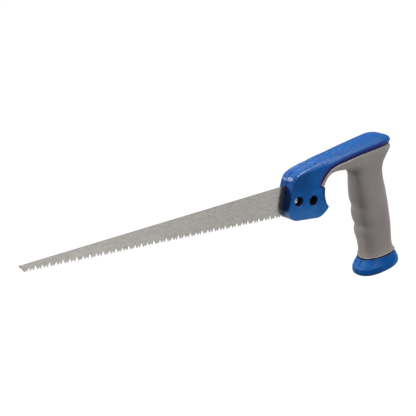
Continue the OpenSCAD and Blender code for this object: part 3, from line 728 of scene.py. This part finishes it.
# rungs of the soft skin: front x, z, rear x, z, half width, share of it at the rear, front and rear
# exponents, share of the bend
GRIP = [(-72.2, 28.1, -77.2, 28.3, 10.6, 0.97, 4.5, 2.4, 0), (-70.9, 31.8, -75.2, 32.0, 10.8, 0.97, 4.5, 2.4, 0),
        (-67.7, 36.7, -70.7, 38.4, 11.2, 0.97, 4.5, 2.4, 0), (-63, 39.6, -65.4, 43.4, 11.6, 0.97, 4.5, 2.4, 0),
        (-57, 40.7, -59.7, 46.2, 12.0, 0.97, 4.5, 2.4, 0), (-48, 40.6, -50, 49.0, 12.5, 0.97, 4.5, 2.4, 0),
        (-40, 39.9, -38, 51.6, 13.0, 0.97, 4.3, 2.4, 0), (-34, 38.7, -22, 54.8, 13.5, 0.97, 4.0, 2.4, 0),
        (-30, 36.6, -6, 57.4, 14.0, 0.96, 3.6, 2.8, 0), (-27.9, 33.4, 10, 59.8, 14.2, 0.84, 3.3, 3.2, 0),
        (-26.8, 29.4, 20.8, 60.3, 14.3, 0.05, 3.1, 3.4, 0), (-26.2, 24.5, 18.9, 55.0, 14.4, 0.004, 3, 2.7, 0),
        (-25.4, 19, 13.9, 46.5, 14.5, 0.004, 3, 2.5, 0), (-24.5, 13, 11.3, 37, 14.7, 0.004, 3, 2.6, 0),
        (-23.2, 6, 12.6, 25, 15.0, 0.004, 3, 2.8, 0), (-20.8, -3, 16.4, 12, 15.3, 0.004, 3, 2.9, 0),
        (-19.6, -10, 19.6, 0, 15.4, 0.004, 3, 2.9, 0), (-17.1, -20, 22.9, -14, 15.4, 0.004, 3, 2.9, 0),
        (-14.9, -30, 25.5, -26, 15.4, 0.004, 3, 2.9, 0), (-11, -42, 27.3, -39, 15.0, 0.004, 3, 2.9, 0),
        (-8, -51.4, 28.6, -48, 14.6, 0.004, 3, 2.9, 0.26), (-6.6, -58.8, 30.4, -54.8, 15.0, 0.004, 2.9, 2.9, 0.7),
        (-6.9, -64.0, 33.6, -59.1, 16.2, 0.004, 2.9, 2.9, 1.0)]


def ridge(z):
    """Two hollows between the fingers on the front of the grip, standing out a little round them."""
    g = lambda c, w: np.exp(-(((z - c) / w) ** 2))
    return 0.30 * g(3.0, 5.0) - 1.30 * g(-7.5, 3.6) + 0.30 * g(-18.0, 4.2) - 1.85 * g(-28.5, 3.8) + 0.50 * g(-39, 5.0)


def grip_sleeve():
    b = Builder()
    rows = spline([(*s[:6], 0.5, *s[6:]) for s in GRIP], 9)
    rows[:, 5] = np.clip(rows[:, 5], 0.004, 0.97)
    last = rows[-1]
    ends = []
    for down, in_ in ((0.30, 0.10), (0.55, 0.40), (0.62, 1.3)):
        e = last.copy()
        e[[1, 3]] -= down
        e[[0, 2]] += (in_, -in_)
        e[4] -= in_
        ends.append(e)
    # a thin neck in painted shade between the skin's tail and the shelf
    neck = []
    for z in (27.0, 28.0):
        e = rows[0].copy()
        e[0], e[1], e[3] = e[0] - 0.7, z, z + 0.2
        e[4] -= 0.6
        neck.append(e)
    ids = []
    for s in neck + list(rows) + ends:
        P, L = section(s, 16)
        r = min(1.1, 0.45 * P[-1, 1])
        cut = P[:, 0] < L - r
        y_end = float(np.interp(L - r, P[:, 0], P[:, 1]))
        d, y = P[cut, 0], P[cut, 1]
        # always the same count of points: the flank again in even steps of its own
        k = np.linspace(0, 1, 33)
        own = np.linspace(0, 1, len(d))
        d, y = np.interp(k, own, d), np.interp(k, own, y)
        a = np.linspace(0, math.pi / 2, 5)
        d = np.r_[d, L - r + r * np.sin(a), L - 0.05 * r, L - 0.75 * r]
        y = np.r_[y, y_end - r + r * np.cos(a), y_end - 1.15 * r, y_end - 1.25 * r]
        half = on_rung(s, d, -y)
        # ridges: pushed out along the rung at the front, fading round the side
        z_front = s[1]
        fade = np.cos(np.clip((d / L) / 0.36, 0, 1) * math.pi / 2) ** 2
        push = ridge(z_front - 6.0 * (d / L)) * fade
        along = np.array([s[0] - s[2], 0, s[1] - s[3]]) / L
        side = np.array([0, -1.0, 0])
        w = np.clip(y / s[4], 0, 1)[:, None]
        out = along * np.sqrt(1 - w**2) + side * w
        half = half + out * push[:, None]
        half[0, 1] = 0
        other = half[1:][::-1] * np.array([1, -1, 1])
        ids.append(b.add(np.vstack([half, other])))
    # painted highlight: the rim at the spine and the one at the butt are a lighter grey, standing in for the light they
    # catch
    m = len(ids[0])
    around = np.zeros(m, int)
    around[33:38] = around[m - 38 : m - 33] = 1
    for r in range(len(ids) - 1):
        mat = 2 if r < 2 else around if r < 10 * 9 else 1 if r >= len(rows) else 0
        b.strip(ids[r], ids[r + 1], mat, closed=True)
    b.face(ids[0], 2)
    b.face(ids[-1])
    return b.make("grip_skin", [GREY, EDGE, GAP], 40)


# ------------------------------------------------------------------ blade

TOE = -424.0
PITCH = 7.1
G0 = TOE + 9.8
PAIRS = 41


def back_z(x):
    return 6.8 + (33.2 - 6.8) * (x - TOE) / (-115.0 - TOE)


def blade():
    b = Builder()
    # outline rows: x, z, half thickness, set to the side, slant of the edge across the blade
    nose = [(TOE, 6.8, 0.42, 0, 0)] + [(TOE + 5.2 * f, 6.8 - 6.5 * f, 0.22, 0, 0) for f in (0.25, 0.5, 0.75, 1.0)]
    nose += [(TOE + 6.4, 0, 0.3, 0.1, 0), (TOE + 7.4, 1.6, 0.5, 0, 0), (TOE + 8.2, 0.1, 0.5, -0.2, 0)]
    teeth = []
    for i in range(PAIRS):
        x = G0 + i * PITCH
        sgn = 1 if i % 2 == 0 else -1
        teeth += [(x - 0.18, 4.1, 0.6, 0, 0.22 * sgn), (x + 0.18, 4.1, 0.6, 0, 0.22 * sgn),
                  (x + 0.30 * PITCH, 0.0, 0.5, 0.26 * sgn, 0),
                  (x + 0.5 * PITCH, 2.6, 0.6, 0, -0.22 * sgn), (x + 0.70 * PITCH, 0.05, 0.5, -0.26 * sgn, 0)]
    x = G0 + PAIRS * PITCH
    teeth += [(x, 3.4, 0.6, 0, 0.2), (x + 2.1, 0.05, 0.5, 0.2, 0)]
    tang = [(-118.4, 1.6, 0.6, 0, 0), (-115, 1.6, 0.6, 0, 0), (-113, 4, 0.6, 0, 0), (-80.5, 4, 0.6, 0, 0), (-78.5, 6, 0.6, 0, 0)]
    a = np.radians(np.linspace(-90, -270, 19))
    slot = [(-78.5, 12.3, 0.6, 0, 0)] + [(-107.3 + 3.35 * math.cos(t), 15.65 + 3.35 * math.sin(t), 0.6, 0, 0) for t in a]
    slot += [(-78.5, 19.0, 0.6, 0, 0)]
    top = [(-78.5, 23.2, 0.6, 0, 0), (-79.4, 24.8, 0.6, 0, 0), (-79.4, 29.6, 0.6, 0, 0), (-80.8, 31, 0.6, 0, 0),
           (-113, 31, 0.6, 0, 0), (-115, 33.2, 0.57, 0, 0)]
    back = [(x, back_z(x), 0.57, 0, 0) for x in np.linspace(-121, TOE + 6, 62)]
    O = np.array(nose + teeth + tang + slot + top + back)
    n = len(O)
    root = [(TOE + 8.4, 4.6)] + [(x, 4.6) for x in np.arange(G0, -121, PITCH / 2)]
    under = [(x, back_z(x) - 0.45) for x in np.linspace(-116, TOE + 5.5, 62)]
    ground = [(TOE + 2.0, 6.55), (TOE + 4.4, 3.9), (TOE + 6.6, 1.9)]
    inner = np.array(root + under + ground)
    middle = np.array([(x, 4.6 + (back_z(x) - 5.05) * f) for x in np.arange(TOE + 40, -120, 6.0) for f in (0.33, 0.67)])
    pts = np.vstack([O[:, :2], inner, middle])
    edges = [(i, (i + 1) % n) for i in range(n)]
    o = n
    for part in (root, under, ground):
        edges += [(o + i, o + i + 1) for i in range(len(part) - 1)]
        o += len(part)
    co, source, tri = triangulate(pts, edges, lambda c: in_polygon(c, O[:, :2]))
    full = np.vstack([O, np.c_[np.vstack([inner, middle]), np.full(len(inner) + len(middle), 0.6), np.zeros((len(inner) + len(middle), 2))]])
    rows = np.array([full[s] if s >= 0 else (p[0], p[1], 0.6, 0, 0) for p, s in zip(co, source)])
    near = b.add(np.c_[rows[:, 0] + rows[:, 4], rows[:, 3] - rows[:, 2], rows[:, 1]])
    far = b.add(np.c_[rows[:, 0] - rows[:, 4], rows[:, 3] + rows[:, 2], rows[:, 1]])
    for t in tri:
        b.face([near[i] for i in t])
        b.face([far[i] for i in t][::-1])
    where = {s: k for k, s in enumerate(source) if s >= 0}
    rim = [where[i] for i in range(n) if i in where]
    for i in range(len(rim)):
        j = (i + 1) % len(rim)
        b.face((near[rim[i]], near[rim[j]], far[rim[j]], far[rim[i]]))
    return b.make("saw_blade", [STEEL], 12)


# ------------------------------------------------------------------ assembly

for name, sides, mirror in (("left_handle_shell", 0, False), ("right_handle_shell", 6, True)):
    b = Builder()
    head_and_spine(b, sides)
    butt(b)
    piece = b.make(name.replace("handle_shell", "handle_half"), [BLUE, INSIDE_SHADE, BAND, GAP], 38, mirror)
    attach(piece, "handle")
    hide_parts(name)

skin = grip_sleeve()
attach(skin, "handle")
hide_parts("grip_sleeve")

saw = blade()
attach(saw, "blade")
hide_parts("blade")

for name in ("front_clamp_screw", "rear_clamp_screw", "front_washer", "rear_washer", "front_clamp_nut", "rear_clamp_nut"):
    mesh = nodes[name].data
    mesh.materials.clear()
    # the rear screw and washer get the painted-shade zinc
    mesh.materials.append(SHADED_ZINC if name in ("rear_clamp_screw", "rear_washer") else ZINC)

# ------------------------------------------------------------------ floor, light, camera

floor_z = cad_box[0][2] - 0.0003
mesh = bpy.data.meshes.new("floor")
mesh.from_pydata([(-9, -9, floor_z), (9, -9, floor_z), (9, 9, floor_z), (-9, 9, floor_z)], [], [(0, 1, 2, 3)])
floor = bpy.data.objects.new("floor", mesh)
scene.collection.objects.link(floor)
pale = Nodes("pale_floor")
pale.set(Base_Color=(0.03, 0.03, 0.03, 1), Roughness=0.9, Specular_IOR_Level=0.0, Emission_Color=(1, 1, 1, 1), Emission_Strength=1.0)
mesh.materials.append(pale.mat)
floor.visible_diffuse = False
# the same pale paper goes on behind the floor, so that a low view has no horizon
turns = np.arange(48) * 2 * math.pi / 48
rings = [(r * np.cos(t), r * np.sin(t), z) for r, z in ((8.5, floor_z - 0.002), (8.8, 0.6), (8.9, 3.0)) for t in turns]
mesh = bpy.data.meshes.new("backdrop")
mesh.from_pydata(rings, [], [(k * 48 + i, k * 48 + (i + 1) % 48, (k + 1) * 48 + (i + 1) % 48, (k + 1) * 48 + i)
                             for k in range(2) for i in range(48)])
backdrop = bpy.data.objects.new("backdrop", mesh)
scene.collection.objects.link(backdrop)
mesh.materials.append(pale.mat)
backdrop.visible_diffuse = backdrop.visible_glossy = backdrop.visible_shadow = False

world = bpy.data.worlds.new("studio")
scene.world = world
world.use_nodes = True
wt = world.node_tree
wt.nodes.clear()
w_out = wt.nodes.new("ShaderNodeOutputWorld")
w_bg = wt.nodes.new("ShaderNodeBackground")
w_dir = wt.nodes.new("ShaderNodeTexCoord")
w_xyz = wt.nodes.new("ShaderNodeSeparateXYZ")
wt.links.new(w_dir.outputs["Generated"], w_xyz.inputs[0])


def world_ramp(axis, a, b, lo, hi):
    r = wt.nodes.new("ShaderNodeMapRange")
    r.inputs["From Min"].default_value, r.inputs["From Max"].default_value = a, b
    r.inputs["To Min"].default_value, r.inputs["To Max"].default_value = lo, hi
    wt.links.new(w_xyz.outputs[axis], r.inputs["Value"])
    return r.outputs["Result"]


# the room: brighter above and behind the handle, dim in front of the blade's toe and below
w_mul = wt.nodes.new("ShaderNodeMath")
w_mul.operation = "MULTIPLY"
wt.links.new(world_ramp(2, -0.5, 0.5, 0.34, 0.65), w_mul.inputs[0])
wt.links.new(world_ramp(0, -0.8, 0.4, 0.15, 1.0), w_mul.inputs[1])
w_bg.inputs["Color"].default_value = (1, 1, 1, 1)
wt.links.new(w_mul.outputs[0], w_bg.inputs["Strength"])
wt.links.new(w_bg.outputs[0], w_out.inputs[0])


def area(name, place, aim, size, power):
    light = bpy.data.lights.new(name, "AREA")
    light.shape = "RECTANGLE"
    light.size, light.size_y = size
    light.energy = power
    obj = bpy.data.objects.new(name, light)
    scene.collection.objects.link(obj)
    obj.location = place
    obj.rotation_euler = (Vector(aim) - Vector(place)).to_track_quat("-Z", "Y").to_euler()
    return obj


area("key_light", (-0.10, -1.8, 0.65), (-0.08, 0, 0), (1.0, 0.9), 12)
area("right_light", (0.80, -1.1, 0.70), (-0.05, 0, 0), (0.35, 0.35), 3.4)
area("top_light", (0.7, 0.0, 1.35), (-0.05, 0, 0.04), (0.6, 0.6), 12.5).visible_glossy = False
area("left_light", (-1.7, 0.40, 0.60), (-0.06, 0, 0.0), (0.7, 0.9), 20)
area("back_light", (-0.86, 1.17, 0.64), (-0.11, 0, 0.04), (0.4, 0.6), 17).visible_glossy = False
area("fill_light", (-1.35, -1.25, 0.10), (-0.06, 0, 0.0), (0.8, 0.8), 7.6)
# two lights that show only as reflections: on the rounded top of the front, and along the edge of the side
gleam = area("patch_light", (-1.012, 1.037, 0.50), (-0.11, 0, 0.04), (0.25, 0.6), 22)
gleam.visible_diffuse = False
gleam = area("edge_light", (0.19, -1.065, 1.04), (-0.11, 0, 0.04), (0.7, 0.32), 66)
gleam.visible_diffuse = False

cam_data = bpy.data.cameras.new("camera")
cam_data.sensor_width = 36
cam_data.lens = 109.697
cam_data.clip_start, cam_data.clip_end = 0.05, 60
cam = bpy.data.objects.new("camera", cam_data)
scene.collection.objects.link(cam)
az, el = math.radians(-36), math.radians(16.0326)
back = Vector((math.sin(az) * math.cos(el), -math.cos(az) * math.cos(el), math.sin(el)))
right = (-back).cross(Vector((0, 0, 1))).normalized()
up = right.cross(-back)
turn = 0.5 / 1267.61
ahead = (-back - right * turn + up * turn).normalized()
right = ahead.cross(Vector((0, 0, 1))).normalized()
up = right.cross(ahead)
m = Matrix((right, up, -ahead)).transposed().to_4x4()
m.translation = (-0.91699, -0.96678, 0.36844)
cam.matrix_world = m
scene.camera = cam
scene.view_settings.view_transform = "Standard"

bpy.context.view_layer.update()
